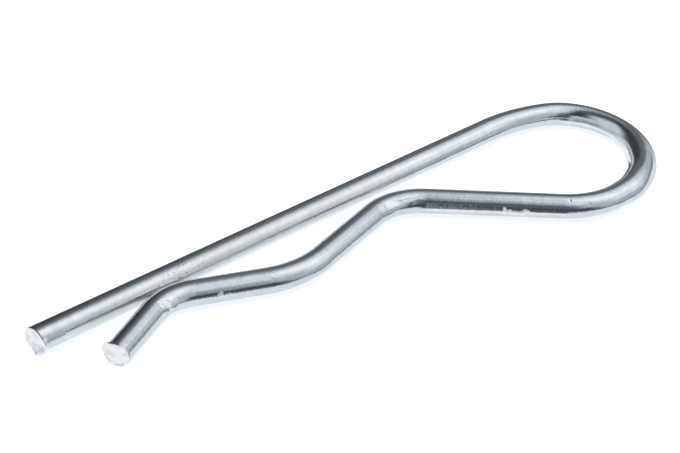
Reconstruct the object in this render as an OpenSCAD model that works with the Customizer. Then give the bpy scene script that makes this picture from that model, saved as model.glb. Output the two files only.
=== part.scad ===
// R-clip (hairpin cotter): one round spring wire, bent flat.
// The straight leg goes through the cross hole of a shaft. The wavy leg rides over the shaft and
// grips it between its two inward knees, the nip and the toe.
// The clip lies on Z = 0 with its legs along X, the cut ends at -X, the eye at +X and the wavy leg
// on the -Y side. The origin is the bottom centre of the whole clip.

/* [Wire] */
// Diameter of the round spring wire
wire_d = 4; // [3:0.25:5]
// How much thinner the wire is in the bends, where bending has drawn it
bend_neck = 0.02; // [0.01:0.01:0.1]

/* [Straight leg] */
// Length of the straight leg, from its cut end to the start of the shoulder bend
leg_len = 89; // [76:0.5:110]
// Angle by which the cut on the straight leg is out of square
leg_cut_angle = 10; // [-12:1:12]

/* [Eye] */
// Inside diameter of the eye
eye_d = 20; // [16:0.5:26]
// Inside radius of the slow shoulder bend that leads from the straight leg into the eye
shoulder_in_r = 31; // [20:1:42]
// Angle turned by the shoulder bend
shoulder_angle = 18.5; // [12:0.5:26]
// Straight run between the shoulder bend and the eye
shoulder_run = 1; // [0.5:0.5:6]
// Straight run between the eye and the return bend
return_run = 3; // [0.5:0.5:8]
// Inside radius of the return bend, which points the wire back at the straight leg
return_in_r = 13; // [8:0.5:18]
// Angle turned by the return bend
return_angle = 36; // [24:1:50]
// Angle at which the wire closes on the straight leg behind the eye
closing_angle = 38.5; // [34:0.5:44]

/* [Nip: inward knee behind the eye] */
// Clear gap between the legs at the nip
nip_gap = 1.9; // [1:0.1:3]
// Inside radius of the bend at the nip
nip_in_r = 9; // [5:0.5:12]

/* [Crown: outward bend that seats on the shaft] */
// Angle at which the wire falls away from the nip to the crown
fall_angle = 14; // [12:0.5:20]
// Clear gap between the legs at the crown
crown_gap = 6; // [5:0.1:9]
// Inside radius of the crown
crown_in_r = 15; // [9:0.5:18]

/* [Toe: inward knee and flared lead-in] */
// Angle at which the wire rises from the crown to the toe
rise_angle = 21.5; // [18:0.5:26]
// Clear gap between the legs at the toe
toe_gap = 0.1; // [0.1:0.1:1.5]
// Inside radius of the bend at the toe
toe_in_r = 7.5; // [4:0.5:10]
// Angle at which the lead-in flares away from the straight leg
flare_angle = 24.5; // [15:0.5:35]
// Length of the straight part of the lead-in
flare_len = 10; // [6:0.5:16]
// Angle by which the cut on the lead-in is out of square
flare_cut_angle = -6; // [-12:1:12]

/* [Shear burr] */
// How far the burr left by the shear stands out from the side of the wire
burr_out = 0.3; // [0.1:0.05:0.5]
// How far the burr reaches back along the wire
burr_len = 0.6; // [0.5:0.1:1.5]

/* [Tool marks] */
// Radius of the bending tool's rounded nose
tool_nose_r = 6; // [3:0.5:12]
// Depth to which the nose is pressed into the two knees
mark_depth = 0.12; // [0.05:0.01:0.25]
// Height angle of the marks above the plane of the clip
mark_angle = 56; // [35:1:75]

/* [Hidden] */
$fn = 48;
wire_r = wire_d / 2;

// Length by which a straight run is seated in the bends beside it
lap = 0.1;

// Centreline radius of each bend
shoulder_r = shoulder_in_r + wire_r;
eye_r = eye_d / 2 + wire_r;
return_r = return_in_r + wire_r;
nip_r = nip_in_r + wire_r;
crown_r = crown_in_r + wire_r;
toe_r = toe_in_r + wire_r;

// The three bends at the eye turn the wire past parallel by the closing angle
eye_angle = 180 + closing_angle - shoulder_angle - return_angle;

// Distance that the wire moves sideways over a bend of radius r that starts or ends along X
function dip(r, a) = r * (1 - cos(a));

// Centre of the eye, measured from the centre of the straight leg's cut
eye_x = leg_len + (shoulder_r - eye_r) * sin(shoulder_angle) + shoulder_run * cos(shoulder_angle);
eye_y = -dip(shoulder_r, shoulder_angle) - shoulder_run * sin(shoulder_angle)
    - eye_r * cos(shoulder_angle);

// Centre of the return bend
return_turn = shoulder_angle + eye_angle;
return_x = eye_x + (eye_r - return_r) * sin(return_turn) + return_run * cos(return_turn);
return_y = eye_y + (eye_r - return_r) * cos(return_turn) - return_run * sin(return_turn);

// Straight runs that bring each knee to its gap from the straight leg
nip_rise = -return_y + return_r * cos(closing_angle) - wire_d - nip_gap;
closing_run = (nip_rise - dip(nip_r, closing_angle)) / sin(closing_angle);
fall_run = (crown_gap - nip_gap - dip(nip_r + crown_r, fall_angle)) / sin(fall_angle);
rise_run = (crown_gap - toe_gap - dip(crown_r + toe_r, rise_angle)) / sin(rise_angle);

// Lowest X of the wavy leg, at the outer corner of its cut
flare_x = return_x
    - (return_r + nip_r) * sin(closing_angle) - closing_run * cos(closing_angle)
    - (nip_r + crown_r) * sin(fall_angle) - fall_run * cos(fall_angle)
    - (crown_r + toe_r) * sin(rise_angle) - rise_run * cos(rise_angle)
    - (toe_r + wire_r) * sin(flare_angle)
    - (flare_len + wire_r * tan(abs(flare_cut_angle))) * cos(flare_angle);

// Limits of the clip, which set the origin
low_x = min(-wire_r * tan(abs(leg_cut_angle)), flare_x);
high_x = eye_x + eye_r + wire_r;
low_y = (return_turn > 180 ? eye_y - eye_r : return_y - return_r) - wire_r;
high_y = wire_r;

// The bender's table: straight run, radius of the bend that follows it, angle turned (to the left is
// positive) and whether the tool left its mark in that bend
RUNS = [
    [leg_len, shoulder_r, -shoulder_angle, false],
    [shoulder_run, eye_r, -eye_angle, false],
    [return_run, return_r, -return_angle, false],
    [closing_run, nip_r, closing_angle + fall_angle, true],
    [fall_run, crown_r, -fall_angle - rise_angle, false],
    [rise_run, toe_r, rise_angle + flare_angle, true],
    [flare_len, 0, 0, false],
];

// Round wire along +X, from one X to another
module wire(from, to) {
    translate([from, 0, 0]) rotate([0, 90, 0]) cylinder(d = wire_d, h = to - from);
}

// Straight run whose end at X = 0 is sheared out of square, with a burr on the side that the shear
// pushed out, given as an angle about the wire from +Y
module sheared(length, cut_angle, burr_angle) {
    difference() {
        union() {
            wire(-wire_d, length + lap);
            translate([0, burr_out * cos(burr_angle), burr_out * sin(burr_angle)])
                wire(-wire_d, burr_len);
        }
        rotate([0, 0, cut_angle]) translate([-2 * wire_d, -wire_d, -wire_d]) cube(2 * wire_d);
    }
}

// The rounded nose of the bending tool, pressed into the inside of a bend of radius r
module tool_nose(r) {
    out = wire_r + tool_nose_r - mark_depth;
    translate([r - out * cos(mark_angle), 0, out * sin(mark_angle)]) sphere(r = tool_nose_r);
}

// A bend that starts along +X at the origin and turns about the point at Y = side * r
module bend(r, turn, marked) {
    side = sign(turn);
    translate([0, side * r, 0]) rotate([0, 0, side > 0 ? -90 : 90 + turn])
        difference() {
            rotate_extrude(angle = abs(turn)) translate([r, 0]) circle(d = wire_d - bend_neck);
            if (marked) rotate([0, 0, abs(turn) / 2]) tool_nose(r);
        }
}

// The wire fed and bent, run after run, in the order that a wire bender makes it
module formed(i = 0) {
    length = RUNS[i][0];
    r = RUNS[i][1];
    turn = RUNS[i][2];
    if (i == 0) sheared(length, leg_cut_angle, 180);
    else if (r > 0) wire(-lap, length + lap);
    else translate([length, 0, 0]) rotate([0, 0, 180]) sheared(length, flare_cut_angle, 30);
    if (r > 0) {
        translate([length, 0, 0]) bend(r, turn, RUNS[i][3]);
        translate([length, sign(turn) * r, 0]) rotate([0, 0, turn])
            translate([0, -sign(turn) * r, 0]) formed(i + 1);
    }
}

module spring_wire() {
    color("silver") translate([-(low_x + high_x) / 2, -(low_y + high_y) / 2, wire_r]) formed();
}

spring_wire();
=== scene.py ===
# R-clip (hairpin cotter) in zinc plated spring wire, lying flat on a white surface.
# Sizes along and around the wire are in millimetres, as a wire bender gives them. Blender's are
# in metres, in the frame of the CAD model: the legs along X, the cut ends at -X, Z up.

import math

import bpy
from mathutils import Matrix, Vector, noise


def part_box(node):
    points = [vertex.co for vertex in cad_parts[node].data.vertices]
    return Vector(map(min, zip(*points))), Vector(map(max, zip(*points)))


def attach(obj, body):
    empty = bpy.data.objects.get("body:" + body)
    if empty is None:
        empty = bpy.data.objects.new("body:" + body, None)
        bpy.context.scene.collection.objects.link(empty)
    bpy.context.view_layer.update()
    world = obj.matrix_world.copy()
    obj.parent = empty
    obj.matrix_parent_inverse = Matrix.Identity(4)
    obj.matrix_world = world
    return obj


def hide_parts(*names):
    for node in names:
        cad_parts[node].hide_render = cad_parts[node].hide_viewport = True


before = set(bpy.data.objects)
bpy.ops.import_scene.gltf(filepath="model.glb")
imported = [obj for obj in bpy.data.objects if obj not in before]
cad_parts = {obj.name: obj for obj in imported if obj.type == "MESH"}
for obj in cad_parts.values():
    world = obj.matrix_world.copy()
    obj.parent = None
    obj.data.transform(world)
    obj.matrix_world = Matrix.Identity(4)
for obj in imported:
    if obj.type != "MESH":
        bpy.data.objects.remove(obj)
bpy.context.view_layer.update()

MM = 0.001

# ---------------------------------------------------------------- sizes of the clip

WIRE_R = 2.0

LEG_LEN = 89.0
LEG_CUT_ANGLE = 10.0

SHOULDER_R = 33.0
SHOULDER_ANGLE = 18.5
SHOULDER_RUN = 1.0
EYE_R = 12.0
RETURN_RUN = 3.0
RETURN_R = 15.0
RETURN_ANGLE = 36.0
CLOSING_ANGLE = 38.5

NIP_GAP = 1.9
NIP_R = 11.0
FALL_ANGLE = 14.0
CROWN_GAP = 6.0
CROWN_R = 17.0
RISE_ANGLE = 21.5
TOE_GAP = 0.1
TOE_R = 9.5
FLARE_ANGLE = 24.5
FLARE_LEN = 10.0
FLARE_CUT_ANGLE = -6.0

EYE_ANGLE = 180.0 + CLOSING_ANGLE - SHOULDER_ANGLE - RETURN_ANGLE

# ---------------------------------------------------------------- fineness of the mesh

# Faces round the wire, millimetres between rings of them, and rings on each cut face
SIDES = 72
RING_STEP = 0.26
RING_STEP_AT_MARKS = 0.10
FINE_AT_CUT = 1.2
FACE_RINGS = 16
SHARP_EDGE_ANGLE = 48.0


def sin_deg(angle):
    return math.sin(math.radians(angle))


def cos_deg(angle):
    return math.cos(math.radians(angle))


def turn_from(angle, other):
    """The turn from one angle about the wire to another, between -180 and 180 degrees."""
    return (angle - other + 180.0) % 360.0 - 180.0


def smooth(x, start, end):
    """0 before start, 1 after end, and an S between them."""
    t = min(max((x - start) / (end - start), 0.0), 1.0)
    return t * t * (3.0 - 2.0 * t)


def add_object(name, data):
    added = bpy.data.objects.new(name, data)
    bpy.context.scene.collection.objects.link(added)
    return added


# ---------------------------------------------------------------- the bent path

def dip(radius, angle):
    """Sideways travel over a bend that starts or ends along X."""
    return radius * (1.0 - cos_deg(angle))


def bend_table():
    """Each run of the wire: (straight length, radius of the bend after it, angle to the left)."""
    back_angle = RETURN_ANGLE - CLOSING_ANGLE
    eye_low = dip(SHOULDER_R, SHOULDER_ANGLE) + SHOULDER_RUN * sin_deg(SHOULDER_ANGLE)
    eye_low += EYE_R * (cos_deg(SHOULDER_ANGLE) + cos_deg(back_angle))
    return_low = eye_low + RETURN_RUN * sin_deg(back_angle) - RETURN_R * cos_deg(back_angle)
    nip_rise = return_low + RETURN_R * cos_deg(CLOSING_ANGLE) - 2.0 * WIRE_R - NIP_GAP
    closing = (nip_rise - dip(NIP_R, CLOSING_ANGLE)) / sin_deg(CLOSING_ANGLE)
    fall = (CROWN_GAP - NIP_GAP - dip(NIP_R + CROWN_R, FALL_ANGLE)) / sin_deg(FALL_ANGLE)
    rise = (CROWN_GAP - TOE_GAP - dip(CROWN_R + TOE_R, RISE_ANGLE)) / sin_deg(RISE_ANGLE)
    return [
        (LEG_LEN, SHOULDER_R, -SHOULDER_ANGLE),
        (SHOULDER_RUN, EYE_R, -EYE_ANGLE),
        (RETURN_RUN, RETURN_R, -RETURN_ANGLE),
        (closing, NIP_R, CLOSING_ANGLE + FALL_ANGLE),
        (fall, CROWN_R, -FALL_ANGLE - RISE_ANGLE),
        (rise, TOE_R, RISE_ANGLE + FLARE_ANGLE),
        (FLARE_LEN, None, 0.0),
    ]


class Path:
    """The wire's centre line: straight runs and round bends."""

    def __init__(self, runs):
        self.pieces = []
        self.knees = []
        self.length = 0.0
        x, y, heading = 0.0, 0.0, 0.0
        for straight, radius, turn in runs:
            self.pieces.append((self.length, x, y, heading, None, 0.0))
            self.length += straight
            x += straight * math.cos(heading)
            y += straight * math.sin(heading)
            if radius is None:
                continue
            side = math.copysign(1.0, turn)
            self.pieces.append((self.length, x, y, heading, radius, side))
            self.knees.append(self.length + radius * math.radians(abs(turn)) / 2.0)
            self.length += radius * math.radians(abs(turn))
            end = heading + math.radians(turn)
            x += side * radius * (math.sin(end) - math.sin(heading))
            y -= side * radius * (math.cos(end) - math.cos(heading))
            heading = end

    def at(self, along):
        """(x, y, heading) at a length along the wire, or on the straight line past its ends."""
        piece = self.pieces[0]
        for candidate in self.pieces:
            if candidate[0] <= along:
                piece = candidate
        start, x, y, heading, radius, side = piece
        run = along - start
        if radius is None:
            return x + run * math.cos(heading), y + run * math.sin(heading), heading
        end = heading + side * run / radius
        x += side * radius * (math.sin(end) - math.sin(heading))
        y -= side * radius * (math.cos(end) - math.cos(heading))
        return x, y, end


path = Path(bend_table())
SHOULDER, EYE, RETURN, NIP, CROWN, TOE = path.knees

# The path starts at the straight leg's cut. The CAD model's box says where that is: its far side
# is at the eye's end, and its left side at the straight leg.
wire_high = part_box("spring_wire")[1]
far_x = max(path.at(EYE + step)[0] for step in range(-20, 21))
origin = Vector((wire_high[0] / MM - far_x - WIRE_R, wire_high[1] / MM - WIRE_R, WIRE_R))

# ---------------------------------------------------------------- marks on the wire
# A mark lies at a length along the wire and at an angle about it: 0 is to the left of the wire's
# heading, 90 is on top. Each gives how far it moves the surface out, in millimetres, and how much
# of the bright torn metal (scar) it shows.


class Mark:
    """What every mark has: a place, a size, a slant and a distance measure."""

    # How far it can reach, in half sizes, and the lumps of its ragged edge in a millimetre
    REACH = 1.9
    RAGS_ALONG = 2.1
    RAGS_AROUND = 2.6

    def __init__(self, along, angle, half_len, half_wide, depth, scar=0.0, ragged=0.0, slant=0.0):
        self.along = along
        self.angle = angle
        self.half_len = half_len
        self.half_wide = half_wide
        self.depth = depth
        self.scar = scar
        self.ragged = ragged
        self.turn = math.radians(slant)

    def reach(self):
        return self.REACH * max(self.half_len, self.half_wide)

    def across(self, along, angle):
        """(length, width) from the mark's middle, as shares of its half sizes."""
        u = along - self.along
        v = WIRE_R * math.radians(turn_from(angle, self.angle))
        length = u * math.cos(self.turn) + v * math.sin(self.turn)
        width = v * math.cos(self.turn) - u * math.sin(self.turn)
        return length / self.half_len, width / self.half_wide

    def raggedness(self, along, angle):
        around = WIRE_R * math.radians(angle)
        where = Vector((along * self.RAGS_ALONG, around * self.RAGS_AROUND, self.along))
        return self.ragged * noise.noise(where)


class Press(Mark):
    """A flat-bottomed hollow with rounded corners and a raised lip, left by a tool's nose."""

    # Where its wall and its lip rise and fall, in half sizes, then shares of the depth or the scar
    WALL = (0.72, 1.12)
    LIP_RISES = (0.9, 1.15)
    LIP_FALLS = (1.2, 1.75)
    LIP_HEIGHT = 0.3
    LIP_SCAR = 0.35
    TILT = 0.35
    UNEVEN = 0.5

    def shape(self, along, angle):
        length, width = self.across(along, angle)
        rough = self.UNEVEN * self.raggedness(along, angle)
        far = (abs(length) ** 3 + abs(width) ** 3) ** (1.0 / 3.0) + rough
        hollow = 1.0 - smooth(far, *self.WALL)
        lip = smooth(far, *self.LIP_RISES) * (1.0 - smooth(far, *self.LIP_FALLS))
        bottom = 1.0 + rough + self.TILT * width
        out = self.depth * (self.LIP_HEIGHT * lip - hollow * bottom)
        return out, self.scar * max(hollow, self.LIP_SCAR * lip)


class Flake(Mark):
    """A ragged edge of metal torn up from the wire. A negative depth is a pit."""

    # Where its slope and its scar end, in half sizes
    SLOPE = (0.3, 1.1)
    SCARRED = (0.6, 1.1)

    def shape(self, along, angle):
        length, width = self.across(along, angle)
        far = math.hypot(length, width) + self.raggedness(along, angle)
        raised = 1.0 - smooth(far, *self.SLOPE)
        return self.depth * raised, self.scar * (1.0 - smooth(far, *self.SCARRED))


class Fold(Mark):
    """A narrow raised line with a groove beside it, where a tool pushed the surface up."""

    # Where its ends fade and how it wanders, in half sizes, then its groove's place and depth
    FADE = (0.5, 1.0)
    WANDER = 0.5
    WANDER_TURN = 2.2
    GROOVE_AT = -1.7
    GROOVE_DEPTH = 0.8

    def shape(self, along, angle):
        length, width = self.across(along, angle)
        width += self.WANDER * math.sin(self.WANDER_TURN * length) * length
        ends = 1.0 - smooth(abs(length), *self.FADE)
        ridge = math.exp(-width * width)
        groove = math.exp(-(width - self.GROOVE_AT) ** 2)
        out = self.depth * ends * (ridge - self.GROOVE_DEPTH * groove)
        return out, self.scar * ends * ridge


MARKS = [
    # the tool's nose pressed into the nip, and the metal that it pushed up
    Press(NIP + 1.8, 51.0, 1.8, 0.48, 0.07, scar=0.9, ragged=0.25, slant=6.0),
    Fold(NIP - 1.0, 62.0, 2.4, 0.22, 0.05, scar=0.45, slant=-4.0),
    Fold(NIP - 2.6, 44.0, 1.8, 0.24, 0.035, slant=-12.0),
    # the same at the toe, in three facets
    Press(TOE + 2.2, 48.0, 0.80, 0.55, 0.06, scar=0.9, ragged=0.3, slant=38.0),
    Press(TOE + 3.3, 58.0, 0.45, 0.55, 0.04, scar=0.6, ragged=0.3, slant=20.0),
    Fold(TOE + 0.5, 50.0, 0.9, 0.22, 0.06, scar=0.8, slant=-20.0),
    Fold(TOE + 1.8, 22.0, 1.3, 0.20, 0.05, scar=0.3, slant=30.0),
    # metal torn up on the outer side of the closing run and of the rise
    Flake(RETURN + 14.3, 6.0, 0.26, 0.70, 0.12, scar=1.0, ragged=0.5, slant=6.0),
    Flake(RETURN + 13.5, -2.0, 0.80, 0.50, 0.10, scar=1.0, ragged=0.6),
    Flake(RETURN + 12.3, -5.0, 1.90, 0.40, 0.09, scar=1.0, ragged=0.5, slant=4.0),
    Flake(RETURN + 11.0, 2.0, 0.70, 0.40, 0.09, scar=1.0, ragged=0.6, slant=-20.0),
    Flake(CROWN + 12.9, 13.0, 0.75, 0.48, 0.06, scar=0.7, ragged=0.6),
    Flake(CROWN + 11.3, 9.0, 1.00, 0.32, 0.05, scar=0.7, ragged=0.6, slant=8.0),
    # a faint fold on top, where the crown ends
    Fold(CROWN + 5.2, 60.0, 1.2, 0.18, 0.03, scar=0.3, slant=21.0),
    # pits near the return bend
    Flake(RETURN + 3.9, 67.0, 0.22, 0.17, -0.10, ragged=0.2),
    Flake(RETURN + 0.9, 42.0, 0.28, 0.20, -0.09, ragged=0.2),
    # a grain under the plating on the far side of the eye
    Flake(EYE - 8.0, 40.0, 0.30, 0.26, 0.05, ragged=0.2),
    # a scratch along the straight leg, near its cut: a shallow groove, and its bright scar is a
    # painted highlight along the wire's lower edge
    Flake(4.6, 186.0, 3.6, 0.15, 0.04, scar=1.0, ragged=0.1, slant=0.5),
]

# ---------------------------------------------------------------- the bare wire

# The tight end of the eye is squeezed. The wire shifts there by UPSET towards the inside of the
# bend and grows by this share of it all round. It starts and ends over these lengths.
UPSET = 0.48
UPSET_ALL_ROUND = 0.62
UPSET_STARTS = (EYE - 3.0, EYE + 6.0)
UPSET_ENDS = (EYE + 12.0, EYE + 20.5)

# The waves left by drawing: (height, lumps along a millimetre, lumps across the wire's radius)
WAVES = [(0.008, 0.25, 1.6), (0.004, 0.9, 3.0)]

# ---------------------------------------------------------------- cut ends

# The shear leaves a burr on one side of each end, and rounds the rest of the rim. At the straight
# leg it has also drawn out a tongue of metal low on the cut face. Angles are about the wire.
BURR_OUT = 0.30
BURR_LEN = 0.55
BURR_SPREAD = 48.0
BURR_FULL = 0.35
BURR_UNEVEN = 0.5
BURR_LUMPS = 2.2
BURR_REACH = 2.0
LEG_BURR_ANGLE = 188.0
FLARE_BURR_ANGLE = 150.0
EDGE_ROUND = 0.07
EDGE_ROUND_LEN = 0.09
CUT_REACH = 3.0
TONGUE_LEN = 0.8
TONGUE_ANGLE = 236.0
TONGUE_SPREAD = 54.0

# Beside the tongue the shear has flattened the straight leg's rim
FLAT_IN = 0.26
FLAT_LEN = 0.7
FLAT_ANGLE = 286.0
FLAT_SPREAD = (10.0, 48.0)

# Both rims have nicks at the bottom, shown only as painted shade on the cut faces.
# The depth is a share of the way from the rim to the centre.
NICK_ANGLE = 265.0
NICK_SPREAD = (55.0, 95.0)
NICK_DEPTH = (0.10, 0.26)
NICK_EDGE = (0.02, 0.22)
NICKS_AROUND = 6.0
NICKS_INWARD = 9.0

# The torn cut faces: (height, lumps along a millimetre, seed), fading out at the rim
FACE_LUMPS = [(0.07, 1.1, 0.0), (0.022, 3.8, 4.0)]
FACE_RIM = 0.22

# What makes one cut's noise differ from the other's
LEG_BURR_SEED = 1.3
FLARE_BURR_SEED = 5.9
LEG_FACE_SEED = 2.0
FLARE_FACE_SEED = 7.0


def burr(depth, angle, burr_angle, seed):
    """How far the wire's side stands out near a cut, at a depth in from the cut."""
    away = abs(turn_from(angle, burr_angle))
    ragged = 1.0 + BURR_UNEVEN * noise.noise(
        Vector((math.radians(angle) * BURR_LUMPS, seed, depth))
    )
    lump = (1.0 - smooth(away, BURR_FULL * BURR_SPREAD, BURR_SPREAD)) * ragged
    swell = BURR_OUT * lump * math.exp(-((depth / BURR_LEN) ** 2))
    rounded = EDGE_ROUND * (1.0 - lump) * math.exp(-((depth / EDGE_ROUND_LEN) ** 2))
    return swell - rounded


def flattened(depth, angle):
    """How far the straight leg's rim is pressed in beside the tongue."""
    away = abs(turn_from(angle, FLAT_ANGLE))
    return FLAT_IN * (1.0 - smooth(away, *FLAT_SPREAD)) * math.exp(-((depth / FLAT_LEN) ** 2))


def upset(along, angle):
    """Growth of the wire at the tight end of the eye, most of it on the inside of the bend."""
    end_of_eye = smooth(along, *UPSET_STARTS) * (1.0 - smooth(along, *UPSET_ENDS))
    return UPSET * end_of_eye * (UPSET_ALL_ROUND - cos_deg(angle))


def surface_offset(along, angle):
    """(out, scar) of the wire's side: the bend's squeeze, the drawing's waves, then the marks."""
    out = upset(along, angle)
    for height, lengthways, across in WAVES:
        lump = Vector((along * lengthways, across * cos_deg(angle), across * sin_deg(angle)))
        out += height * noise.noise(lump)
    scar = 0.0
    for mark in MARKS:
        if abs(along - mark.along) < mark.reach():
            moved, torn = mark.shape(along, angle)
            out += moved
            scar = max(scar, torn)
    return out, scar


# ---------------------------------------------------------------- the wire's mesh

def ring_places():
    """Lengths along the wire for the rings: closer together at the marks and at the cuts."""
    places = []
    along = 0.0
    while along < path.length:
        places.append(along)
        at_mark = any(abs(along - mark.along) < mark.reach() for mark in MARKS)
        at_cut = min(along, path.length - along) < FINE_AT_CUT
        along += RING_STEP_AT_MARKS if at_mark or at_cut else RING_STEP
    places.append(path.length)
    return places


def cut_shift(sideways, height, along):
    """How far a cut carries a point along the wire, fading out away from the cut."""
    at_leg = 1.0 - smooth(along, 0.0, CUT_REACH)
    at_flare = smooth(along, path.length - CUT_REACH, path.length)
    angle = math.degrees(math.atan2(height, sideways))
    away = abs(turn_from(angle, TONGUE_ANGLE))
    tongue = TONGUE_LEN * (1.0 - smooth(away, 0.0, TONGUE_SPREAD))
    tongue *= min(math.hypot(sideways, height) / WIRE_R, 1.0) ** 3
    shift = -math.tan(math.radians(LEG_CUT_ANGLE)) * sideways - tongue
    return shift * at_leg + math.tan(math.radians(FLARE_CUT_ANGLE)) * sideways * at_flare


def to_metres(along, sideways, height):
    """A point along the path, to the left of it and above its plane, never below the floor."""
    x, y, heading = path.at(along + cut_shift(sideways, height, along))
    x -= sideways * math.sin(heading)
    y += sideways * math.cos(heading)
    point = (Vector((x, y, height)) + origin) * MM
    point.z = max(point.z, 0.0)
    return point


def side_point(along, angle):
    """A point on the wire's side, and its scar."""
    out, scar = surface_offset(along, angle)
    from_end = path.length - along
    if along < BURR_REACH:
        out += burr(along, angle, LEG_BURR_ANGLE, LEG_BURR_SEED)
        out -= flattened(along, angle)
    if from_end < BURR_REACH:
        out += burr(from_end, angle, FLARE_BURR_ANGLE, FLARE_BURR_SEED)
    radius = WIRE_R + out
    return to_metres(along, radius * cos_deg(angle), radius * sin_deg(angle)), scar


def face_point(along, angle, share, seed):
    """A point on a cut face, at a share of the way from its rim to its centre."""
    inward = 1.0 if along == 0.0 else -1.0
    radius = WIRE_R * (1.0 - share)
    y = radius * cos_deg(angle)
    z = radius * sin_deg(angle)
    torn = sum(
        height * noise.noise(Vector((y * fine, z * fine, seed + more)))
        for height, fine, more in FACE_LUMPS
    )
    depth = smooth(share, 0.0, FACE_RIM) * torn
    return to_metres(along + inward * depth, y, z)


# painted shade of the nicks in the cut faces' rims
def painted_nick_shade(angle, share, seed):
    """How dark a cut face is painted for the shade in the nicks in its rim. The mesh keeps it as
    the face's scar.
    """
    near_rim = 1.0 - smooth(share, *NICK_DEPTH)
    at_bottom = 1.0 - smooth(abs(turn_from(angle, NICK_ANGLE)), *NICK_SPREAD)
    y = NICKS_AROUND * cos_deg(angle)
    z = NICKS_AROUND * sin_deg(angle)
    chip = noise.noise(Vector((y, z, seed + share * NICKS_INWARD)))
    return smooth(chip, *NICK_EDGE) * near_rim * at_bottom


def build_wire():
    """The wire's side, ring by ring, then the two cut faces, each in rings down to its centre."""
    points = []
    scars = []
    for along in ring_places():
        for side in range(SIDES):
            point, scar = side_point(along, 360.0 * side / SIDES)
            points.append(point)
            scars.append(scar)
    rings = len(points) // SIDES
    faces = []
    for ring in range(rings - 1):
        for side in range(SIDES):
            a = ring * SIDES + side
            b = ring * SIDES + (side + 1) % SIDES
            faces.append((a, b, b + SIDES, a + SIDES))
    sheared = len(faces)
    cuts = [
        (0.0, 0, LEG_FACE_SEED),
        (path.length, (rings - 1) * SIDES, FLARE_FACE_SEED),
    ]
    for along, rim, seed in cuts:
        previous = [rim + side for side in range(SIDES)]
        for ring in range(1, FACE_RINGS):
            share = ring / FACE_RINGS
            current = list(range(len(points), len(points) + SIDES))
            for side in range(SIDES):
                points.append(face_point(along, 360.0 * side / SIDES, share, seed))
                scars.append(painted_nick_shade(360.0 * side / SIDES, share, seed))
            for side in range(SIDES):
                after = (side + 1) % SIDES
                quad = (previous[after], previous[side], current[side], current[after])
                faces.append(quad if along == 0.0 else quad[::-1])
            previous = current
        centre = len(points)
        points.append(face_point(along, 0.0, 1.0, seed))
        scars.append(0.0)
        for side in range(SIDES):
            fan = (previous[(side + 1) % SIDES], previous[side], centre)
            faces.append(fan if along == 0.0 else fan[::-1])

    mesh = bpy.data.meshes.new("spring_wire_formed")
    mesh.from_pydata(points, [], faces)
    mesh.polygons.foreach_set("use_smooth", [True] * len(faces))
    mesh.polygons.foreach_set("material_index", [int(i >= sheared) for i in range(len(faces))])
    mesh.attributes.new("scar", "FLOAT", "POINT").data.foreach_set("value", scars)
    mesh.update()
    mesh.set_sharp_from_angle(angle=math.radians(SHARP_EDGE_ANGLE))
    return add_object("spring_wire_formed", mesh)


# ---------------------------------------------------------------- shader maths

class Value:
    """A node's output in a shader, with the sums that are used on it."""

    def __init__(self, tree, socket):
        self.tree = tree
        self.socket = socket

    def math(self, operation, *others, swap=False):
        inputs = [self, *others]
        if swap:
            inputs.reverse()
        return self.tree.add("ShaderNodeMath", {"operation": operation}, *inputs)

    def __add__(self, other):
        return self.math("ADD", other)

    def __sub__(self, other):
        return self.math("SUBTRACT", other)

    def __mul__(self, other):
        return self.math("MULTIPLY", other)

    def __radd__(self, other):
        return self.math("ADD", other, swap=True)

    def __rsub__(self, other):
        return self.math("SUBTRACT", other, swap=True)

    def __rmul__(self, other):
        return self.math("MULTIPLY", other, swap=True)

    def step(self, start, end):
        """0 before start, 1 after end, and an S between them."""
        return self.tree.add(
            "ShaderNodeMapRange",
            {"interpolation_type": "SMOOTHSTEP"},
            self, start, end, 0.0, 1.0,
        )

    def between(self, low, high, soft):
        """1 between low and high, fading over soft on both sides."""
        rise = self.step(low - soft / 2.0, low + soft / 2.0)
        fall = self.step(high - soft / 2.0, high + soft / 2.0)
        return rise * (1.0 - fall)


class Tree:
    """The node tree of a material or a world, built by one method."""

    def __init__(self, owner):
        owner.use_nodes = True
        self.nodes = owner.node_tree.nodes
        self.links = owner.node_tree.links
        self.nodes.clear()

    def add(self, kind, settings=None, *values, out=0, numbered=None, **named):
        """Adds a node: its settings, then its sockets by number or by name. Gives one output."""
        node = self.nodes.new(kind)
        for name, setting in (settings or {}).items():
            setattr(node, name, setting)
        for key, value in [*enumerate(values), *(numbered or {}).items(), *named.items()]:
            socket = node.inputs[key if isinstance(key, int) else key.replace("_", " ")]
            if isinstance(value, Value):
                self.links.new(value.socket, socket)
            else:
                socket.default_value = value
        return Value(self, node.outputs[out]) if len(node.outputs) else None

    def mix(self, share, first, second):
        """Two colours mixed by a share. Each colour is a Value, or red, green and blue."""
        colours = [c if isinstance(c, Value) else (*c, 1.0) for c in (first, second)]
        sockets = {0: share, 6: colours[0], 7: colours[1]}
        return self.add("ShaderNodeMix", {"data_type": "RGBA"}, out=2, numbered=sockets)

    def axes(self, place):
        """The x, y and z of a place."""
        return [self.add("ShaderNodeSeparateXYZ", None, place, out=axis) for axis in range(3)]

    def metal(self, colour, metallic, rough, height, grain):
        """The material's surface: a metal whose grain is (strength, height in metres)."""
        strength, depth = grain
        bump = self.add("ShaderNodeBump", None, Strength=strength, Distance=depth, Height=height)
        shader = self.add(
            "ShaderNodeBsdfPrincipled",
            None,
            Base_Color=colour,
            Metallic=metallic,
            Roughness=rough,
            Normal=bump,
        )
        self.add("ShaderNodeOutputMaterial", None, Surface=shader)


# ---------------------------------------------------------------- materials

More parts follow.
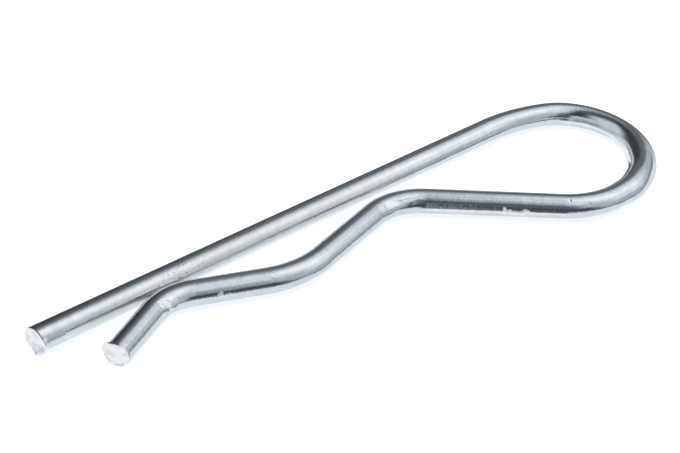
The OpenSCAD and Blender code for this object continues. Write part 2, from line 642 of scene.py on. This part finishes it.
ZINC = (0.875, 0.88, 0.885)
ZINC_DULL = (0.765, 0.78, 0.80)
ZINC_WARM = (0.81, 0.80, 0.73)
TORN_METAL = (0.97, 0.97, 0.98)
# painted reflection of the white floor, low on the straight leg's side
FLOOR_REFLECTION_PAINT = (0.95, 0.98, 1.0)
SHEARED = (0.985, 0.985, 0.99)
SHEARED_DULL = (0.80, 0.82, 0.84)
SPECK = (0.42, 0.38, 0.32)
# painted shade in the nicks at the cut faces' rims
NICK_SHADE_COLOUR = (0.36, 0.38, 0.41)

# Noise scales, in lumps along a metre
PATCHES = 160.0
MOTTLE = 900.0
TEARS = 700.0
CRYSTALS = 2600.0

# Where the patches' and the mottle's noise turns from bright to dull, and the patches' share in it
PATCHES_TURN = (0.3, 0.7)
MOTTLE_TURNS = (0.35, 0.65)
PATCHES_SHARE = 0.6

# The stain gathers in the mottle. Specks show where the crystals' noise passes a step, and sooner
# and darker where the leg is speckled.
STAIN_GATHERS = (0.35, 0.70)
STAIN_SHARE = 0.8
SPECK_STARTS = 0.69
SPECK_ENDS = 0.73
SPECK_SOONER = 0.07
SPECK_SHARE = 0.35
SPECK_DARKER = 0.45

# Roughness of the plating, then what the mottle, the patches, the stain and the scars add to it
ZINC_ROUGH = 0.06
MOTTLE_ROUGH = 0.10
PATCHES_ROUGH = 0.05
STAIN_ROUGH = 0.12
SCAR_ROUGH = 0.22

# How much less of a mirror the scars are, and the painted reflection of the white floor low on the
# straight leg
SCAR_MATT = 0.6
FLOOR_REFLECTION_MATT = 0.3

# Where the tears turn from dull to bright, then the cut faces' roughness and metallic share
TEARS_TURN = (0.30, 0.48)
SHEARED_ROUGH = 0.28
SHEARED_ROUGHER = 0.2
SHEARED_METALLIC = 0.45

# A finish's grain: (strength of its bump, its height in metres), and its coarse noise's share
ZINC_GRAIN = (0.21, 0.00015)
SHEARED_GRAIN = (0.22, 0.0002)
COARSE_SHARE = 0.6

# The straight leg is stained, painted pale low on its side as a painted reflection of the white
# floor, and speckled: each starts and ends at these places along X and fades over the last length,
# in millimetres. The other two give the side of the clip that the leg is on, along Y, and the
# height below which the floor's reflection is painted.
STAINED = (-48.0, 10.0, 24.0)
FLOOR_REFLECTION_ALONG = (-44.0, 16.0, 22.0)
SPECKLED = (-38.0, -24.0, 10.0)
LEG_SIDE = (8.0, 10.5)
FLOOR_REFLECTION_BELOW = (1.7, 2.1)


def in_metres(lengths):
    return [length * MM for length in lengths]


def grain_height(coarse, fine):
    return COARSE_SHARE * coarse + (1.0 - COARSE_SHARE) * fine


def zinc_plate():
    """Bright zinc on drawn wire: mottled and lightly crystalline, dull where it is stained, and
    pale low on the straight leg's side where the white floor's reflection is painted.
    """
    material = bpy.data.materials.new("zinc_plate")
    tree = Tree(material)
    place = tree.add("ShaderNodeTexCoord", out=3)
    patches = tree.add("ShaderNodeTexNoise", None, Vector=place, Scale=PATCHES, Detail=3.0)
    mottle = tree.add("ShaderNodeTexNoise", None, Vector=place, Scale=MOTTLE, Detail=3.0)
    crystals = tree.add("ShaderNodeTexNoise", None, Vector=place, Scale=CRYSTALS, Detail=2.0)
    scar = tree.add("ShaderNodeAttribute", {"attribute_name": "scar"}, out=2)

    x, y, z = tree.axes(place)
    on_leg = y.step(*in_metres(LEG_SIDE))
    stained = on_leg * x.between(*in_metres(STAINED))
    warm = STAIN_SHARE * stained * mottle.step(*STAIN_GATHERS)
    speckled = on_leg * x.between(*in_metres(SPECKLED))
    # painted reflection: the white floor's light, painted pale on the straight leg's side below a
    # height
    painted_floor_reflection = on_leg * x.between(*in_metres(FLOOR_REFLECTION_ALONG)) * (1.0 - z.step(*in_metres(FLOOR_REFLECTION_BELOW)))
    sooner = SPECK_SOONER * speckled
    specks = crystals.step(SPECK_STARTS - sooner, SPECK_ENDS - sooner)
    specks = specks * (SPECK_SHARE + SPECK_DARKER * speckled)

    dull = PATCHES_SHARE * patches.step(*PATCHES_TURN)
    dull = dull + (1.0 - PATCHES_SHARE) * mottle.step(*MOTTLE_TURNS)
    colour = tree.mix(dull, ZINC, ZINC_DULL)
    colour = tree.mix(warm, colour, ZINC_WARM)
    colour = tree.mix(specks, colour, SPECK)
    # painted reflection of the white floor, low on the straight leg
    colour = tree.mix(painted_floor_reflection, colour, FLOOR_REFLECTION_PAINT)
    colour = tree.mix(scar, colour, TORN_METAL)
    rough = ZINC_ROUGH + MOTTLE_ROUGH * mottle + PATCHES_ROUGH * patches
    rough = rough + STAIN_ROUGH * stained + SCAR_ROUGH * scar
    # the painted floor reflection is made less of a mirror, so that the lamp lights it
    metallic = 1.0 - SCAR_MATT * scar - FLOOR_REFLECTION_MATT * painted_floor_reflection
    tree.metal(colour, metallic, rough, grain_height(mottle, crystals), ZINC_GRAIN)
    return material


def sheared_steel():
    """The torn faces of the cuts: pale, half bright and half dull, with painted shade of nicks at
    the rim.
    """
    material = bpy.data.materials.new("sheared_steel")
    tree = Tree(material)
    place = tree.add("ShaderNodeTexCoord", out=3)
    tear = tree.add("ShaderNodeTexNoise", None, Vector=place, Scale=TEARS, Detail=4.0)
    grain = tree.add("ShaderNodeTexNoise", None, Vector=place, Scale=CRYSTALS, Detail=2.0)
    nick_shade = tree.add("ShaderNodeAttribute", {"attribute_name": "scar"}, out=2)
    colour = tree.mix(tear.step(*TEARS_TURN), SHEARED_DULL, SHEARED)
    # painted shade of the nicks at the rim
    colour = tree.mix(nick_shade, colour, NICK_SHADE_COLOUR)
    rough = SHEARED_ROUGH + SHEARED_ROUGHER * grain
    tree.metal(colour, SHEARED_METALLIC, rough, grain_height(tear, grain), SHEARED_GRAIN)
    return material


# ---------------------------------------------------------------- studio

FLOOR_SIZE = 1.6
FLOOR_GLOW = (0.64, 0.69, 0.77)
FLOOR_PAINT = (0.68, 0.62, 0.52)

LAMP_SIZE = 0.5
LAMP_ENERGY = 1.6
LAMP_AT = (0.02, 0.03, 0.5)

# The camera stands at the cut ends' side: its azimuth is counted from -Y, and -90 would be -X.
# Its distance, and its aim from the straight leg's cut, are in millimetres. The near clip is in
# metres.
CAMERA_AZIMUTH = -44.776
CAMERA_ELEVATION = 38.055
CAMERA_DISTANCE = 246.954
CAMERA_ROLL = 6.026
CAMERA_LENS = 84.706
SENSOR_WIDTH = 36.0
NEAR_CLIP = 0.01
AIM_ALONG_LEG = 51.64
AIM_BESIDE_LEG = -5.34

# What stands round the clip: (brightness, azimuth of its middle, half its width, softness, lowest
# and highest elevation, softness, lean). Azimuths run clockwise from straight behind the clip as
# the camera sees it, elevations up from the horizon, all in degrees. A lean is how far the azimuth
# shifts for each degree of elevation. Half a width over 180 goes all the way round. Each thing
# covers those before it.
ROOM = 0.15
AROUND_THE_CLIP = {
    "ceiling": (0.10, 0, 200, 20, 63, 100, 14, 0.0),
    "room behind the clip": (0.14, 19, 20, 18, -15, 53, 16, -0.2),
    "table on the right": (0.49, 87, 62, 15, -53, 42, 8, -0.2),
    "soft box": (0.79, 81, 72, 42, 41, 83, 23, 0.0),
    "soft box's bright middle": (1.09, 73, 23, 44, 33, 73, 22, -0.3),
    "soft box's glow below it": (0.90, 87, 16, 22, 14, 36, 23, -0.3),
    "camera's stand": (0.055, 148, 26, 16, -29, 15, 19, 0.4),
    "camera": (0.05, 182, 16, 13, 24, 73, 18, 0.3),
    "wall behind the camera": (0.56, -168, 24, 11, -31, 27, 10, 0.1),
    "white card on the left": (0.69, -111, 37, 36, -14, 63, 25, 0.0),
    "foot of the card": (0.56, -113, 59, 25, -39, -8, 7, -0.3),
    "dark screen behind on the left": (0.055, -35, 20, 21, -17, 64, 12, -0.1),
    "white sweep": (1.02, 0, 200, 20, -100, -34, 7, 0.0),
    "white sweep on the right": (1.00, 87, 59, 17, -57, -20, 7, -0.3),
    "white sweep on the left": (0.98, -36, 24, 12, -57, -19, 8, 0.0),
    "white sweep under the clip": (0.80, 0, 200, 20, -100, -63, 11, 0.0),
    "low window on the left": (0.74, -71, 21, 25, -34, -5, 8, -0.2),
    "skirting behind the camera": (0.32, -161, 25, 12, -25, -6, 7, 0.2),
    "foot of the dark screen": (0.06, -1, 11, 12, -36, -9, 10, -0.2),
}

# The near edge of the white sweep is a thin dark line, and the sheet below it is lit. The edge is
# level, then bends by each (elevation, from azimuth, to azimuth), and it is paler over a stretch.
# The line and the sheet are counted in degrees down from the edge.
EDGE_ELEVATION = 13.0
EDGE_BENDS = [(-34.0, 55.0, 90.0), (10.0, 95.0, 106.0)]
EDGE_IN_VIEW = (37.0, 153.0, 18.0)
EDGE_LINE = (-4.6, 4.6, 4.0)
EDGE_BRIGHT = 0.17
EDGE_PALER = 0.14
EDGE_PALE_AT = (98.5, 116.0, 6.0)
SHEET_BRIGHT = 0.83
SHEET_STARTS = (5.0, 11.0)
SHEET_ENDS = (55.0, 75.0)

# Shade is a little blue, and light is nearly neutral: the share of red and blue in each
SHADE_RED = 0.90
SHADE_BLUE = 1.10
LIGHT_RED = 0.98
LIGHT_BLUE = 1.01
LIGHT_FROM = (0.55, 1.1)


def studio():
    """The world as the wire mirrors it. The camera itself sees plain white."""
    world = bpy.data.worlds.new("studio")
    bpy.context.scene.world = world
    tree = Tree(world)
    place = tree.add("ShaderNodeTexCoord", out=0)
    x, y, z = tree.axes(place)
    to_right = x * cos_deg(CAMERA_AZIMUTH) + y * sin_deg(CAMERA_AZIMUTH)
    ahead = x * -sin_deg(CAMERA_AZIMUTH) + y * cos_deg(CAMERA_AZIMUTH)
    azimuth = to_right.math("ARCTAN2", ahead) * math.degrees(1.0)
    elevation = z.math("ARCSINE") * math.degrees(1.0)

    bright = ROOM
    for level, middle, half, soft, low, high, soft_edge, lean in AROUND_THE_CLIP.values():
        mask = elevation.between(low, high, soft_edge)
        if half < 180.0:
            leaning = azimuth - lean * (elevation - (low + high) / 2.0) - middle
            apart = leaning.math("WRAP", 180.0, -180.0).math("ABSOLUTE")
            mask = mask * (1.0 - apart.step(half - soft / 2.0, half + soft / 2.0))
        bright = bright + mask * (level - bright)

    edge = EDGE_ELEVATION
    for rise, start, end in EDGE_BENDS:
        edge = edge + rise * azimuth.step(start, end)
    below_edge = edge - elevation
    in_view = azimuth.between(*EDGE_IN_VIEW)
    sheet = below_edge.step(*SHEET_STARTS) * (1.0 - below_edge.step(*SHEET_ENDS))
    bright = bright + in_view * sheet * (SHEET_BRIGHT - bright)
    line = EDGE_BRIGHT + EDGE_PALER * azimuth.between(*EDGE_PALE_AT)
    bright = bright + in_view * below_edge.between(*EDGE_LINE) * (line - bright)

    lit = bright.step(*LIGHT_FROM)
    red = bright * (SHADE_RED + (LIGHT_RED - SHADE_RED) * lit)
    blue = bright * (SHADE_BLUE + (LIGHT_BLUE - SHADE_BLUE) * lit)
    colour = tree.add("ShaderNodeCombineColor", None, red, bright, blue)

    seen = tree.add("ShaderNodeLightPath")
    light = tree.add("ShaderNodeBackground", None, Color=colour, Strength=1.0)
    white = tree.add("ShaderNodeBackground", None, Color=(1.0, 1.0, 1.0, 1.0), Strength=1.0)
    shown = tree.add("ShaderNodeMixShader", None, seen, light, white)
    tree.add("ShaderNodeOutputWorld", None, Surface=shown)


def floor():
    """A white floor that glows just enough for the lamp's shadow to stay pale and blue."""
    mesh = bpy.data.meshes.new("floor")
    half = FLOOR_SIZE / 2.0
    corners = [(-half, -half, 0.0), (half, -half, 0.0), (half, half, 0.0), (-half, half, 0.0)]
    mesh.from_pydata(corners, [], [(0, 1, 2, 3)])
    table = add_object("floor", mesh)
    material = bpy.data.materials.new("white_floor")
    tree = Tree(material)
    glow = tree.add("ShaderNodeEmission", None, Color=(*FLOOR_GLOW, 1.0), Strength=1.0)
    paint = tree.add("ShaderNodeBsdfDiffuse", None, Color=(*FLOOR_PAINT, 1.0))
    both = tree.add("ShaderNodeAddShader", None, glow, paint)
    tree.add("ShaderNodeOutputMaterial", None, Surface=both)
    mesh.materials.append(material)
    table.visible_glossy = False


def overhead_light():
    """A broad soft lamp over the clip. Only what isn't a full mirror takes light from it."""
    data = bpy.data.lights.new("overhead_light", "AREA")
    data.shape = "DISK"
    data.size = LAMP_SIZE
    data.energy = LAMP_ENERGY
    data.specular_factor = 0.0
    lamp = add_object("overhead_light", data)
    lamp.location = Vector(LAMP_AT)
    lamp.rotation_euler = lamp.location.to_track_quat("Z", "Y").to_euler()
    lamp.visible_camera = False
    lamp.visible_glossy = False


def camera():
    """Looks down at the clip from beside its cut ends, turned a little about its own axis."""
    data = bpy.data.cameras.new("camera")
    data.lens = CAMERA_LENS
    data.sensor_width = SENSOR_WIDTH
    data.clip_start = NEAR_CLIP
    view = add_object("camera", data)
    aim = (Vector((AIM_ALONG_LEG, AIM_BESIDE_LEG, 0.0)) + origin) * MM
    back = Vector((
        sin_deg(CAMERA_AZIMUTH) * cos_deg(CAMERA_ELEVATION),
        -cos_deg(CAMERA_AZIMUTH) * cos_deg(CAMERA_ELEVATION),
        sin_deg(CAMERA_ELEVATION),
    ))
    right = Vector((0.0, 0.0, 1.0)).cross(back).normalized()
    up = back.cross(right)
    turned = Matrix((right, up, back)).transposed().to_4x4()
    view.matrix_world = (
        Matrix.Translation(aim + back * CAMERA_DISTANCE * MM)
        @ turned
        @ Matrix.Rotation(math.radians(CAMERA_ROLL), 4, "Z")
    )
    bpy.context.scene.camera = view


# ---------------------------------------------------------------- the scene

bpy.context.scene.view_settings.view_transform = "Standard"
camera()
studio()
floor()
overhead_light()

wire = build_wire()
wire.data.materials.append(zinc_plate())
wire.data.materials.append(sheared_steel())
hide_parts("spring_wire")
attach(wire, "root")
